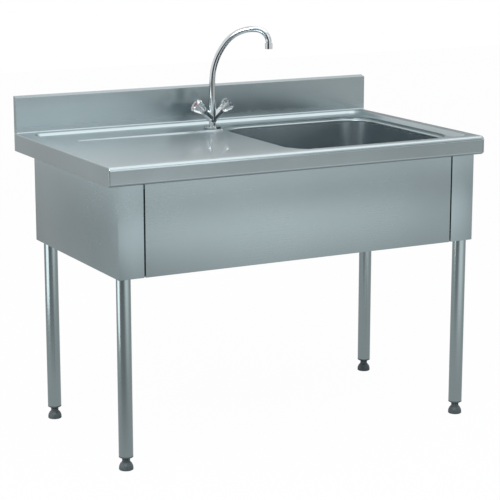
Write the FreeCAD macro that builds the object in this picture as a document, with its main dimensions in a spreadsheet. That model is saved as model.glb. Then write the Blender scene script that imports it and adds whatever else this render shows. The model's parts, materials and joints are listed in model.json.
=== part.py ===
import FreeCAD, Part

# Stainless steel catering sink unit: one bowl on the right, a drainer on the left, a
# backsplash, side and front panels, four round legs on levelling feet, and a two-handle
# mixer with a swan-neck spout.
#
# Frame: millimetres, +X to the right, +Y to the wall, +Z up. The origin is on the floor,
# under the middle of the worktop's rectangle.

import math
import os

import Sketcher
from FreeCAD import Placement, Rotation, Vector

os.makedirs("parts", exist_ok=True)
doc = FreeCAD.newDocument("catering_sink_unit")

# --------------------------------------------------------------------------------------
# Driving dimensions
# --------------------------------------------------------------------------------------

SIZES = [
    # worktop pressing
    ("unit_length", 1200, "overall length, end to end"),
    ("unit_depth", 700, "overall depth, front to wall"),
    ("rim_height", 850, "floor to the top of the raised rim"),
    ("worktop_sheet", 1.5, "worktop and bowl sheet thickness"),
    ("apron_height", 54, "height of the turned-down edges"),
    ("apron_lip", 16, "width of the lip turned in at the apron's foot"),
    ("nose_radius", 12, "rolled top edge, front and right"),
    ("under_radius", 8, "rolled lower edge, front and right"),
    ("end_corner_radius", 14, "upright corner, front right"),
    ("fold_radius", 3, "tight fold of the left edge"),
    ("backsplash_height", 110, "backsplash top above the rim"),
    ("backsplash_thickness", 20, "backsplash face to its wall side"),
    ("backsplash_rise", 5, "how far its top strip climbs to the wall"),
    ("backsplash_lip", 30, "lip turned down at the wall side"),
    ("backsplash_cove", 4, "radius at the backsplash foot"),
    ("rim_side", 40, "raised rim width at the two ends"),
    ("rim_front", 30, "raised rim width at the front"),
    ("rim_rear", 20, "raised rim width before the backsplash"),
    ("recess_depth", 8, "rim down to the recessed floor"),
    ("recess_corner", 30, "corner radius of the recess at the rim"),
    ("recess_edge_radius", 4, "rounding where rim turns into recess"),
    ("recess_wall_slope", 45, "recess walls, degrees from upright"),
    # drainer
    ("drainer_from_left", 120, "left end to the drainer pan"),
    ("drainer_from_front", 135, "front to the drainer pan"),
    ("drainer_from_rear", 155, "backsplash face to the drainer pan"),
    ("drainer_corner", 24, "corner radius of the drainer pan"),
    ("drainer_step", 2.5, "step down into the pan at its high end"),
    ("drainer_fall", 2.5, "fall of the pan towards the bowl"),
    ("drainer_wall_slope", 60, "pan walls, degrees from upright"),
    # bowl
    ("bowl_width", 500, "bowl opening, left to right"),
    ("bowl_from_right", 80, "right end to the bowl opening"),
    ("bowl_from_front", 75, "front to the bowl opening"),
    ("bowl_from_wall", 125, "wall side to the bowl opening"),
    ("bowl_corner", 75, "corner radius of the bowl opening"),
    ("bowl_depth", 250, "bowl band down to the bowl floor"),
    ("bowl_draft", 3, "draft of the bowl walls in degrees"),
    ("bowl_floor_radius", 42, "radius between bowl walls and floor"),
    ("bowl_band", 18, "width of the sunk band round the bowl"),
    ("band_depth", 5.5, "recessed floor down to the band"),
    ("bowl_lip_drop", 8, "depth of the lip turned down into the bowl"),
    ("bowl_lip_radius", 4, "rounding of the bowl's upper edge"),
    # waste
    ("waste_recess_depth", 5, "bowl floor down to the waste seat"),
    ("waste_recess_radius", 66, "rim of the waste seat in the floor"),
    ("waste_hole_radius", 44, "hole in the bowl floor"),
    ("waste_flange_radius", 57, "waste flange seen in the bowl"),
    ("waste_flange_thick", 2, "waste flange thickness"),
    ("waste_cup_radius", 42, "outside of the waste cup"),
    ("waste_cup_wall", 2, "waste cup wall"),
    ("waste_cup_depth", 46, "flange down to the cup's underside"),
    ("waste_tail_radius", 23.9, "one-and-a-half inch pipe thread, outside"),
    ("waste_tail_bore", 20, "bore radius of the tail"),
    ("waste_tail_length", 24, "tail below the cup"),
    ("waste_seal_thick", 2, "seals above and below the bowl floor"),
    ("waste_nut_radius", 55, "large ring nut"),
    ("waste_nut_height", 12, "large ring nut height"),
    ("basket_radius", 36.5, "strainer basket outside"),
    ("basket_wall", 1, "strainer basket wall"),
    ("basket_depth", 30, "strainer basket depth"),
    ("basket_rim_radius", 46, "strainer basket rim"),
    ("basket_hole_radius", 2.5, "holes in the basket floor"),
    ("basket_knob_radius", 9, "knob that lifts the basket"),
    ("basket_knob_height", 16, "basket floor to the knob's top"),
    ("plug_radius", 27, "rubber plug under the basket"),
    ("weld_gap", 0.1, "gap under a sheet that is welded or bonded on"),
    ("running_gap", 0.3, "gap between pieces that move past each other"),
    ("thread_gap", 0.1, "radial gap of nuts and screws on their threads"),
    # panels
    ("panel_sheet", 1.2, "side and front panel sheet"),
    ("panel_foot_height", 540, "floor to the panels' lower edge"),
    ("panel_inset", 30, "worktop end to the side panel"),
    ("panel_front_inset", 17, "worktop front to the panel face"),
    ("panel_rear_inset", 80, "wall side to the side panel's rear edge"),
    ("panel_return", 75, "front return of a side panel"),
    ("panel_rear_return", 22, "rear return of a side panel"),
    ("panel_hem", 12, "height of the folded hem along the lower edges"),
    ("panel_top_flange", 28, "flange under the worktop"),
    ("panel_edge_flange", 14, "flange along the shadow gap"),
    ("shadow_gap", 4.5, "gap between return and front panel"),
    ("joint_strip_width", 26, "strip behind the shadow gap"),
    ("rail_height", 60, "rear rail web"),
    ("rail_flange", 20, "rear rail flange under the worktop"),
    ("stiffener_sheet", 1.5, "drainer stiffener sheet"),
    ("stiffener_width", 50, "drainer stiffener width"),
    ("stiffener_height", 22, "drainer stiffener height"),
    ("stiffener_flange", 14, "drainer stiffener flange"),
    ("stiffener_bays", 3, "equal bays that the stiffeners make under the pan"),
    ("stiffener_front_gap", 55, "worktop front to the stiffeners"),
    ("stiffener_rear_gap", 105, "wall side to the stiffeners"),
    # legs and feet
    ("leg_radius", 20, "leg tube outside"),
    ("leg_wall", 1.5, "leg tube wall"),
    ("leg_inset_x", 55, "worktop end to leg centre"),
    ("leg_inset_front", 45, "worktop front to front leg centre"),
    ("leg_inset_rear", 130, "wall side to rear leg centre"),
    ("leg_foot_height", 40, "floor to the end of the tube"),
    ("gusset_height", 780, "floor to the top of the corner gussets"),
    ("gusset_thick", 3, "corner gusset plate"),
    ("gusset_reach", 30, "leg centre to the gusset's inner edges"),
    ("socket_wall", 3, "leg socket wall"),
    ("socket_depth", 60, "leg socket depth"),
    ("leg_fit", 0.25, "clearance of the leg in its socket"),
    ("grub_radius", 4, "grub screw radius"),
    ("grub_length", 8, "grub screw length"),
    ("insert_depth", 32, "plastic insert up inside the tube"),
    ("insert_lip", 3.5, "insert lip below the tube"),
    ("insert_chamfer", 5, "taper below the insert lip"),
    ("foot_stem_radius", 5, "levelling screw radius"),
    ("foot_stem_fit", 0.08, "levelling screw in its insert"),
    ("foot_bell_radius", 20, "foot on the floor"),
    ("foot_bell_edge", 4, "upright edge of the bell"),
    ("foot_bell_bow", 24, "radius of the bell's flank"),
    ("foot_stem_length", 52, "levelling screw above the foot collar"),
    ("foot_collar_radius", 11, "foot neck radius"),
    ("foot_bell_height", 23, "bell of the foot"),
    # tap
    ("tap_from_bowl", 31, "tap axis to the bowl opening"),
    ("tap_from_wall", 133, "tap axis to the wall side"),
    ("tap_hole_radius", 17.5, "tap hole in the worktop"),
    ("tap_base_radius", 27, "base flange of the tap"),
    ("tap_base_height", 5, "base flange height"),
    ("tap_seal_radius", 26, "seal under the tap"),
    ("tap_seal_thick", 1.5, "seal under the tap"),
    ("tap_column_radius", 11, "column above the flange"),
    ("tap_column_waist", 10, "column under the arms"),
    ("tap_column_height", 24, "base to the column's waist"),
    ("tap_arm_rise", 26, "base to the crossing of the arm axes"),
    ("tap_arm_angle", 40, "slope of the arms in degrees"),
    ("tap_arm_radius", 11.5, "arm axis to each of its eight flats"),
    ("tap_arm_length", 32, "crossing to the arm's end"),
    ("tap_hub_radius", 12, "hub that carries the spout"),
    ("tap_hub_height", 54, "base to the hub's top"),
    ("tap_ring_radius", 11, "ring on the hub"),
    ("tap_ring_height", 11, "ring on the hub"),
    ("tap_neck_radius", 10, "neck between ring and collar nut"),
    ("tap_neck_height", 4, "neck between ring and collar nut"),
    ("spigot_bore", 8.3, "bore that takes the spout's spigot"),
    ("spigot_bore_depth", 28, "depth of that bore from the neck's top"),
    ("cartridge_bore_depth", 20, "headwork bore in each arm"),
    ("shank_radius", 16, "threaded shank under the tap"),
    ("shank_length", 42, "threaded shank length"),
    ("shank_washer_radius", 26, "washers under the worktop"),
    ("shank_washer_thick", 3, "each washer"),
    ("shank_nut_radius", 25, "back nut across its corners, halved"),
    ("shank_nut_height", 8, "back nut height"),
    ("inlet_radius", 4.5, "hose inlet, M10 thread"),
    ("inlet_depth", 16, "hose inlet depth"),
    ("inlet_spacing", 14, "between the two hose inlets"),
    ("cartridge_radius", 9, "headwork body"),
    ("cartridge_depth", 18, "headwork inside the arm"),
    ("cartridge_hex", 12.5, "headwork hexagon across its corners, halved"),
    ("cartridge_hex_thick", 8, "headwork hexagon thickness"),
    ("spindle_radius", 4, "splined spindle"),
    ("spindle_fit", 0.08, "running clearance of the spindle"),
    ("spindle_inside", 16, "spindle inside the headwork"),
    ("spindle_outside", 22, "spindle inside the handle"),
    ("handle_start", 44.5, "crossing to the handle's narrow end"),
    ("handle_length", 30, "handle length"),
    ("handle_narrow", 12.5, "handle radius at its narrow end"),
    ("handle_wide", 21.5, "handle radius at its wide end"),
    ("handle_edge", 5, "rounding of the wide end"),
    ("handle_lobes", 6, "flutes round the handle"),
    ("flute_radius", 7, "flute cutter radius"),
    ("flute_centre", 24, "handle axis to the flute cutter's axis"),
    ("index_radius", 8, "index cap radius"),
    ("index_thick", 2, "index cap thickness"),
    ("handle_screw_radius", 2.5, "screw that holds the handle"),
    ("handle_screw_head", 4.5, "head radius of that screw"),
    ("handle_screw_head_thick", 4, "head thickness of that screw"),
    ("spout_radius", 9, "spout tube outside"),
    ("spout_wall", 1.2, "spout tube wall"),
    ("spigot_radius", 7, "spigot at the spout's foot"),
    ("spigot_wall", 1.5, "spigot wall"),
    ("spigot_length", 20, "spigot inside the hub"),
    ("spigot_groove", 0.8, "depth of the groove for the set screw"),
    ("set_screw_radius", 1.5, "set screw in the ring"),
    ("set_screw_turn", 45, "set screw direction, degrees left of the front"),
    ("o_ring_radius", 0.6, "thickness of the spout's seals, halved"),
    ("o_ring_spacing", 9, "between the spout's two seals"),
    ("collar_radius", 11.5, "spout collar nut"),
    ("collar_height", 15, "spout collar nut height"),
    ("spout_rise", 138, "base of the tap to the start of the bend"),
    ("bend_a_radius", 195, "first, large bend of the spout"),
    ("bend_a_angle", 39, "turn of the first bend in degrees"),
    ("bend_b_radius", 104, "second bend"),
    ("bend_b_angle", 57, "turn of the second bend in degrees"),
    ("bend_c_radius", 40, "third, tight bend, down to upright"),
    ("spout_drop", 8, "straight end of the spout"),
    ("spout_rest_angle", 30, "rest direction, degrees forward of +X"),
    ("aerator_radius", 11.5, "aerator housing"),
    ("aerator_grip", 6, "aerator housing above the tube's end"),
    ("aerator_height", 17, "aerator housing height"),
    ("aerator_insert", 6, "aerator insert height"),
]

sheet = doc.addObject("Spreadsheet::Sheet", "Dims")
for row, (alias, value, note) in enumerate(SIZES, start=1):
    sheet.set("A%d" % row, note)
    sheet.set("B%d" % row, str(value))
    sheet.setAlias("B%d" % row, alias)
doc.recompute()


class Size:
    """A length or angle: its number, and the sheet formula that gives it."""

    def __init__(self, value, text):
        self.value = float(value)
        self.text = text

    def __add__(self, other):
        other = as_size(other)
        return Size(self.value + other.value, "(%s + %s)" % (self.text, other.text))

    def __sub__(self, other):
        other = as_size(other)
        return Size(self.value - other.value, "(%s - %s)" % (self.text, other.text))

    def __mul__(self, other):
        other = as_size(other)
        return Size(self.value * other.value, "(%s * %s)" % (self.text, other.text))

    def __truediv__(self, other):
        other = as_size(other)
        return Size(self.value / other.value, "(%s / %s)" % (self.text, other.text))

    def __neg__(self):
        return Size(-self.value, "(-%s)" % self.text)

    def __radd__(self, other):
        return as_size(other) + self

    def __rsub__(self, other):
        return as_size(other) - self

    def __rmul__(self, other):
        return as_size(other) * self


def as_size(number):
    return number if isinstance(number, Size) else Size(number, "%.6g" % number)


def dim(alias):
    return Size(float(sheet.get(alias)), "Dims.%s" % alias)


def sine(angle):
    return Size(math.sin(math.radians(angle.value)), "sin(%s)" % angle.text)


def cosine(angle):
    return Size(math.cos(math.radians(angle.value)), "cos(%s)" % angle.text)


def tangent(angle):
    return Size(math.tan(math.radians(angle.value)), "tan(%s)" % angle.text)


def bind(thing, name, size):
    """Tie a property of a document object to the sheet."""
    thing.setExpression(name, as_size(size).text)


# --------------------------------------------------------------------------------------
# Modelling helpers
# --------------------------------------------------------------------------------------

parts = []


def keep(thing, label):
    """Mark an object as a sub-part under its node name."""
    thing.Label = label
    parts.append(thing)
    return thing


def new_body(label):
    return keep(doc.addObject("PartDesign::Body", label), label)


def new_sketch(body, name, plane="XY_Plane", lift=None):
    """A sketch on one of the body's own planes, lifted along the plane's normal."""
    sketch = body.newObject("Sketcher::SketchObject", name)
    origin_plane = [f for f in body.Origin.OriginFeatures if f.Role == plane][0]
    sketch.AttachmentSupport = [(origin_plane, "")]
    sketch.MapMode = "FlatFace"
    if lift is not None:
        bind(sketch, "AttachmentOffset.Base.z", lift)
    return sketch


def fix(sketch, kind, size, *where):
    """Add a driving constraint and tie it to the sheet."""
    size = as_size(size)
    number = sketch.addConstraint(Sketcher.Constraint(kind, *where, size.value))
    sketch.setExpression("Constraints[%d]" % number, size.text)


def pin_point(sketch, curve, end, x, y):
    """Hold one end of a curve at x, y."""
    fix(sketch, "DistanceX", x, -1, 1, curve, end)
    fix(sketch, "DistanceY", y, -1, 1, curve, end)


def arc_between(start, end, radius, turn):
    """Arc of the given radius from start to end; turn is 1 anticlockwise, -1 clockwise."""
    middle = (start + end) / 2
    chord = end - start
    height = math.sqrt(max(radius * radius - chord.Length * chord.Length / 4, 0))
    side = Vector(-chord.y, chord.x, 0).normalize()
    centre = middle + side * (height * turn)
    first, last = (start, end) if turn > 0 else (end, start)
    low = math.atan2(first.y - centre.y, first.x - centre.x)
    high = math.atan2(last.y - centre.y, last.x - centre.x)
    return Part.ArcOfCircle(Part.Circle(centre, Vector(0, 0, 1), radius), low, high)


def polygon(sketch, corners, arcs=None):
    """Closed outline through the corners. The edge that leaves corner i is an arc where
    arcs holds i: (radius, turn), with a turn of 1 anticlockwise and -1 clockwise."""
    arcs = arcs or {}
    corners = [(as_size(x), as_size(y)) for x, y in corners]
    points = [Vector(x.value, y.value, 0) for x, y in corners]
    first = sketch.GeometryCount
    count = len(corners)
    ends = []
    for i, start in enumerate(points):
        end = points[(i + 1) % count]
        if i in arcs:
            radius, turn = as_size(arcs[i][0]), arcs[i][1]
            sketch.addGeometry(arc_between(start, end, radius.value, turn))
            ends.append((1, 2) if turn > 0 else (2, 1))
        else:
            sketch.addGeometry(Part.LineSegment(start, end))
            ends.append((1, 2))
    for i, (x, y) in enumerate(corners):
        j = (i + 1) % count
        joint = (first + i, ends[i][1], first + j, ends[j][0])
        sketch.addConstraint(Sketcher.Constraint("Coincident", *joint))
        pin_point(sketch, first + i, ends[i][0], x, y)
        if i in arcs:
            fix(sketch, "Radius", arcs[i][0], first + i)


def circle(sketch, x, y, radius):
    x, y, radius = as_size(x), as_size(y), as_size(radius)
    centre = Vector(x.value, y.value, 0)
    number = sketch.addGeometry(Part.Circle(centre, Vector(0, 0, 1), radius.value))
    fix(sketch, "Radius", radius, number)
    pin_point(sketch, number, 3, x, y)


def rounded_rectangle(sketch, left, right, front, rear, radius):
    """Rectangle with four equal corner arcs, tangent all round."""
    left, right, front, rear = [as_size(v) for v in (left, right, front, rear)]
    radius = as_size(radius)
    x0, x1, y0, y1 = left.value, right.value, front.value, rear.value
    r = radius.value
    first = sketch.GeometryCount
    corners = [(x1 - r, y0 + r, -90), (x1 - r, y1 - r, 0), (x0 + r, y1 - r, 90), (x0 + r, y0 + r, 180)]
    sides = [((x0 + r, y0), (x1 - r, y0)), ((x1, y0 + r), (x1, y1 - r)),
             ((x1 - r, y1), (x0 + r, y1)), ((x0, y1 - r), (x0, y0 + r))]
    for (start, end), (cx, cy, turn) in zip(sides, corners):
        sketch.addGeometry(Part.LineSegment(Vector(*start, 0), Vector(*end, 0)))
        arc = Part.Circle(Vector(cx, cy, 0), Vector(0, 0, 1), r)
        angles = math.radians(turn), math.radians(turn + 90)
        sketch.addGeometry(Part.ArcOfCircle(arc, *angles))
    for i in range(4):
        line, arc = first + 2 * i, first + 2 * i + 1
        following = first + (2 * i + 2) % 8
        sketch.addConstraint(Sketcher.Constraint("Tangent", line, 2, arc, 1))
        sketch.addConstraint(Sketcher.Constraint("Tangent", arc, 2, following, 1))
    for i in range(3):
        sketch.addConstraint(Sketcher.Constraint("Equal", first + 1, first + 3 + 2 * i))
    sketch.addConstraint(Sketcher.Constraint("Horizontal", first))
    sketch.addConstraint(Sketcher.Constraint("Vertical", first + 2))
    sketch.addConstraint(Sketcher.Constraint("Horizontal", first + 4))
    sketch.addConstraint(Sketcher.Constraint("Vertical", first + 6))
    fix(sketch, "Radius", radius, first + 1)
    fix(sketch, "DistanceY", front, -1, 1, first, 1)
    fix(sketch, "DistanceX", right, -1, 1, first + 2, 1)
    fix(sketch, "DistanceY", rear, -1, 1, first + 4, 1)
    fix(sketch, "DistanceX", left, -1, 1, first + 6, 1)


def extrude(body, kind, name, sketch, length, reverse=False, taper=None):
    """Pad or Pocket; reverse runs against the sketch's normal."""
    feature = body.newObject("PartDesign::%s" % kind, name)
    feature.Profile = sketch
    bind(feature, "Length", length)
    # a pad follows the normal of its sketch, and a pocket goes against it
    feature.Reversed = reverse if kind == "Pad" else not reverse
    if taper is not None:
        bind(feature, "TaperAngle", taper)
    doc.recompute()
    return feature


def revolve(body, name, sketch, kind="Revolution"):
    """Full turn about the sketch's upright axis."""
    feature = body.newObject("PartDesign::%s" % kind, name)
    feature.Profile = sketch
    feature.ReferenceAxis = (sketch, ["V_Axis"])
    feature.Angle = 360
    doc.recompute()
    return feature


def round_edges(body, name, wanted, radius, kind="Fillet"):
    """Fillet or chamfer the edges of the body's last feature that pass a test."""
    base = body.Tip
    names = ["Edge%d" % i for i, edge in enumerate(base.Shape.Edges, 1) if wanted(edge)]
    if not names:
        raise RuntimeError("no edges found for " + name)
    feature = body.newObject("PartDesign::%s" % kind, name)
    feature.Base = (base, names)
    bind(feature, "Radius" if kind == "Fillet" else "Size", radius)
    doc.recompute()
    return feature


def lies_on(edge, **planes):
    """True if the whole edge lies on the given planes, such as z=850 or x=-600."""
    box = edge.BoundBox
    spans = {"x": (box.XMin, box.XMax), "y": (box.YMin, box.YMax), "z": (box.ZMin, box.ZMax)}
    for axis, level in planes.items():
        low, high = spans[axis]
        if abs(low - level) > 0.02 or abs(high - level) > 0.02:
            return False
    return True


def within(edge, x=None, y=None, z=None):
    """True if the edge's box lies inside the given ranges."""
    box = edge.BoundBox
    slack = 0.02
    spans = ((x, box.XMin, box.XMax), (y, box.YMin, box.YMax), (z, box.ZMin, box.ZMax))
    for limits, low, high in spans:
        if limits and (low < limits[0] - slack or high > limits[1] + slack):
            return False
    return True


def place(body, x, y, z, rotation=None):
    """Put a body in the unit's frame, tied to the sheet."""
    turn = rotation or Rotation()
    body.Placement = Placement(Vector(as_size(x).value, as_size(y).value, as_size(z).value), turn)
    bind(body, "Placement.Base.x", x)
    bind(body, "Placement.Base.y", y)
    bind(body, "Placement.Base.z", z)


def ring(label, outer, inner, height, place_at, rotation=None):
    """Flat ring or tube standing on its placement."""
    body = new_body(label)
    profile = new_sketch(body, label + "_profile")
    circle(profile, 0, 0, outer)
    circle(profile, 0, 0, inner)
    extrude(body, "Pad", label + "_wall", profile, height)
    place(body, *place_at, rotation)
    return body


def turned(label, profile_points, place_at, rotation=None, arcs=None):
    """Solid of revolution about the body's own Z, from (radius, height) corners."""
    body = new_body(label)
    profile = new_sketch(body, label + "_profile", "XZ_Plane")
    polygon(profile, profile_points, arcs)
    revolve(body, label + "_turning", profile)
    place(body, *place_at, rotation)
    return body


# --------------------------------------------------------------------------------------
# Places worked out from the driving dimensions
# --------------------------------------------------------------------------------------

sheet_t = dim("worktop_sheet")
left_end = -dim("unit_length") / 2
right_end = dim("unit_length") / 2
front_face = -dim("unit_depth") / 2
wall_face = dim("unit_depth") / 2
rim_top = dim("rim_height")
apron_foot = rim_top - dim("apron_height")
backsplash_face = wall_face - dim("backsplash_thickness")
backsplash_top = rim_top + dim("backsplash_height")

recess_left = left_end + dim("rim_side")
recess_right = right_end - dim("rim_side")
recess_front = front_face + dim("rim_front")
recess_rear = backsplash_face - dim("rim_rear")
recess_floor = rim_top - dim("recess_depth")

bowl_right = right_end - dim("bowl_from_right")
bowl_left = bowl_right - dim("bowl_width")
bowl_front = front_face + dim("bowl_from_front")
bowl_rear = wall_face - dim("bowl_from_wall")
bowl_x = bowl_left + dim("bowl_width") / 2
bowl_y = (bowl_front + bowl_rear) / 2
band_floor = recess_floor - dim("band_depth")
bowl_lip_foot = band_floor - dim("bowl_lip_drop")
bowl_floor = band_floor - dim("bowl_depth")

drainer_left = left_end + dim("drainer_from_left")
drainer_front = front_face + dim("drainer_from_front")
drainer_rear = backsplash_face - dim("drainer_from_rear")
drainer_high = recess_floor - dim("drainer_step")
drainer_run = bowl_left - drainer_left
drainer_slope = math.degrees(math.atan2(dim("drainer_fall").value, drainer_run.value))

panel_t = dim("panel_sheet")
panel_foot = dim("panel_foot_height")
panel_face = front_face + dim("panel_front_inset")
panel_rear = wall_face - dim("panel_rear_inset")
under_recess = recess_floor - sheet_t

leg_x = right_end - dim("leg_inset_x")
leg_front_y = front_face + dim("leg_inset_front")
leg_rear_y = wall_face - dim("leg_inset_rear")
leg_foot = dim("leg_foot_height")
leg_top = dim("gusset_height") - dim("gusset_thick")

tap_x = bowl_left - dim("tap_from_bowl")
tap_y = wall_face - dim("tap_from_wall")
tap_base = recess_floor + dim("tap_seal_thick")
arm_angle = dim("tap_arm_angle")
arm_crossing = tap_base + dim("tap_arm_rise")
neck_top = tap_base + dim("tap_hub_height") + dim("tap_ring_height") + dim("tap_neck_height")


# --------------------------------------------------------------------------------------
# Worktop: one pressed sheet with rolled edges, recess, drainer pan, bowl band and
# backsplash. Each pressing is a pad under the sheet followed by a pocket from above.
# --------------------------------------------------------------------------------------

def worktop_block(body, name, kind, inset, top, height):
    """The worktop's outer block, or the void under it when inset by the sheet."""
    outline = new_sketch(body, name + "_outline", "XY_Plane", top)
    corners = [(left_end + inset, front_face + inset), (right_end - inset, front_face + inset),
               (right_end - inset, wall_face - inset), (left_end + inset, wall_face - inset)]
    polygon(outline, corners)
    extrude(body, kind, name, outline, height, reverse=True)


def roll_edges(body, name, inset, top, foot):
    """Round the block's edges: upright corner, rolled top and foot, tight left fold."""
    x0, x1 = left_end.value + inset.value, right_end.value - inset.value
    y0, y1 = front_face.value + inset.value, 0
    round_edges(body, name + "_corner", lambda e: lies_on(e, x=x1, y=y0),
                dim("end_corner_radius") - inset)

    def rolled(edge, level):
        on_front = lies_on(edge, y=y0, z=level) and edge.BoundBox.XLength > 1
        on_right = lies_on(edge, x=x1, z=level) and edge.BoundBox.YLength > 1
        r = dim("end_corner_radius").value
        on_corner = lies_on(edge, z=level) and within(edge, x=(x1 - r, x1), y=(y0, y0 + r))
        return on_front or on_right or on_corner

    round_edges(body, name + "_nose", lambda e: rolled(e, top.value),
                dim("nose_radius") - inset)
    if foot is not None:
        round_edges(body, name + "_under", lambda e: rolled(e, foot.value),
                    dim("under_radius") - inset)
    round_edges(body, name + "_fold",
                lambda e: lies_on(e, x=x0, z=top.value) and e.BoundBox.YLength > y1 - y0,
                dim("fold_radius") - inset)


def make_worktop():
    void = doc.addObject("PartDesign::Body", "worktop_void")
    worktop_block(void, "void_block", "Pad", sheet_t, rim_top - sheet_t,
                  dim("apron_height") - 2 * sheet_t)
    roll_edges(void, "void", sheet_t, rim_top - sheet_t, apron_foot + sheet_t)

    body = new_body("worktop")
    worktop_block(body, "block", "Pad", Size(0, "0"), rim_top, dim("apron_height"))
    roll_edges(body, "outer", Size(0, "0"), rim_top, apron_foot)
    hollow = body.newObject("PartDesign::Boolean", "hollow")
    hollow.setObjects([void])
    hollow.Type = "Cut"
    doc.recompute()

    # the opening in its foot leaves a lip turned in all round
    lip = new_sketch(body, "lip_outline", "XY_Plane", apron_foot)
    edge = dim("apron_lip")
    polygon(lip, [(left_end + edge, front_face + edge), (right_end - edge, front_face + edge),
                  (right_end - edge, wall_face - edge), (left_end + edge, wall_face - edge)])
    extrude(body, "Pocket", "lip_opening", lip, 2 * sheet_t)

    # beds of the pressings, under the sheet
    upright = Size(90, "90")
    slope = dim("recess_wall_slope")
    bend_gain = sheet_t * tangent((upright - slope) / 2)
    wall_run = dim("recess_depth") * tangent(slope)
    bed = new_sketch(body, "recess_bed_outline", "XY_Plane", under_recess)
    rounded_rectangle(bed, recess_left + wall_run - bend_gain, recess_right - wall_run + bend_gain,
                      recess_front + wall_run - bend_gain, recess_rear - wall_run + bend_gain,
                      dim("recess_corner") - wall_run + bend_gain)
    extrude(body, "Pad", "recess_bed", bed, dim("recess_depth") + sheet_t / 2, taper=slope)

    bed_top = recess_floor - sheet_t / 3
    pan_slope = dim("drainer_wall_slope")
    pan_gain = sheet_t * tangent((upright - pan_slope) / 2)
    pan_height = dim("drainer_step") + dim("drainer_fall")
    bed = drainer_plane(body, "drainer_bed_outline", drainer_high - sheet_t)
    rounded_rectangle(bed, -pan_gain, drainer_run, drainer_front - pan_gain, drainer_rear + pan_gain,
                      dim("drainer_corner") + pan_gain)
    extrude(body, "Pad", "drainer_bed", bed, pan_height + sheet_t, taper=pan_slope)

    bed = new_sketch(body, "band_bed_outline", "XY_Plane", bed_top)
    bowl_outline(bed, dim("bowl_band") + sheet_t)
    extrude(body, "Pad", "band_bed", bed, dim("band_depth") + 2 * sheet_t / 3, reverse=True)
    bed = new_sketch(body, "bowl_lip_outline", "XY_Plane", band_floor - sheet_t / 2)
    bowl_outline(bed, sheet_t)
    extrude(body, "Pad", "bowl_lip", bed, dim("bowl_lip_drop") - sheet_t / 2, reverse=True)

    # pockets from above leave one sheet of even thickness
    recess = new_sketch(body, "recess_outline", "XY_Plane", rim_top)
    rounded_rectangle(recess, recess_left, recess_right, recess_front, recess_rear,
                      dim("recess_corner"))
    extrude(body, "Pocket", "recess", recess, dim("recess_depth"), reverse=True, taper=-slope)
    pan = drainer_plane(body, "drainer_outline", drainer_high)
    rounded_rectangle(pan, 0, drainer_run + dim("bowl_corner") / 2, drainer_front, drainer_rear,
                      dim("drainer_corner"))
    extrude(body, "Pocket", "drainer", pan, 2 * pan_height, taper=pan_slope)
    band = new_sketch(body, "band_outline", "XY_Plane", recess_floor)
    bowl_outline(band, dim("bowl_band"))
    extrude(body, "Pocket", "band", band, dim("band_depth"), reverse=True)
    opening = new_sketch(body, "bowl_outline", "XY_Plane", rim_top)
    bowl_outline(opening, Size(0, "0"))
    extrude(body, "Pocket", "bowl_opening", opening, dim("apron_height"), reverse=True)
    tap_hole = new_sketch(body, "tap_hole_outline", "XY_Plane", rim_top)
    circle(tap_hole, tap_x, tap_y, dim("tap_hole_radius"))
    extrude(body, "Pocket", "tap_hole", tap_hole, dim("apron_height") / 2, reverse=True)

    x0, x1 = bowl_left.value, bowl_right.value
    y0, y1 = bowl_front.value, bowl_rear.value
    round_edges(body, "bowl_edge", lambda e: lies_on(e, z=band_floor.value)
                and within(e, (x0, x1), (y0, y1)), dim("bowl_lip_radius"))
    round_edges(body, "recess_edge", lambda e: lies_on(e, z=rim_top.value)
                and within(e, (recess_left.value, recess_right.value),
                           (recess_front.value, recess_rear.value)), dim("recess_edge_radius"))
    add_backsplash(body)
    return body


def bowl_outline(sketch, grow):
    """The bowl opening, grown outwards."""
    rounded_rectangle(sketch, bowl_left - grow, bowl_right + grow, bowl_front - grow,
                      bowl_rear + grow, dim("bowl_corner") + grow)


def drainer_plane(body, name, level):
    """A sketch on the drainer's sloping floor, its X running down from the high end."""
    sketch = new_sketch(body, name)
    sketch.AttachmentOffset = Placement(Vector(drainer_left.value, 0, level.value),
                                        Rotation(Vector(0, 1, 0), drainer_slope))
    bind(sketch, "AttachmentOffset.Base.x", drainer_left)
    bind(sketch, "AttachmentOffset.Base.z", level)
    return sketch


def add_backsplash(body):
    """Sheet bent up from the rim, over its sloping top and down its wall-side lip."""
    face, wall = backsplash_face, wall_face
    shoulder = backsplash_top - dim("backsplash_rise")
    slope = Size(math.degrees(math.atan2(dim("backsplash_rise").value,
                                         dim("backsplash_thickness").value)), "0")
    slope.text = "atan(%s / %s)" % (dim("backsplash_rise").text, dim("backsplash_thickness").text)
    fold = sheet_t / cosine(slope)
    inner_shoulder = shoulder - fold + sheet_t * tangent(slope)
    inner_top = backsplash_top - fold - sheet_t * tangent(slope)
    cove = dim("backsplash_cove")
    buried = rim_top - sheet_t / 2
    profile = new_sketch(body, "backsplash_profile", "YZ_Plane", left_end)
    polygon(profile, [(face - cove, buried), (face - cove, rim_top), (face, rim_top + cove),
                      (face, shoulder), (wall, backsplash_top),
                      (wall, backsplash_top - dim("backsplash_lip")),
                      (wall - sheet_t, backsplash_top - dim("backsplash_lip")),
                      (wall - sheet_t, inner_top), (face + sheet_t, inner_shoulder),
                      (face + sheet_t, buried)], {1: (cove, 1)})
    extrude(body, "Pad", "backsplash", profile, dim("unit_length"))


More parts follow.
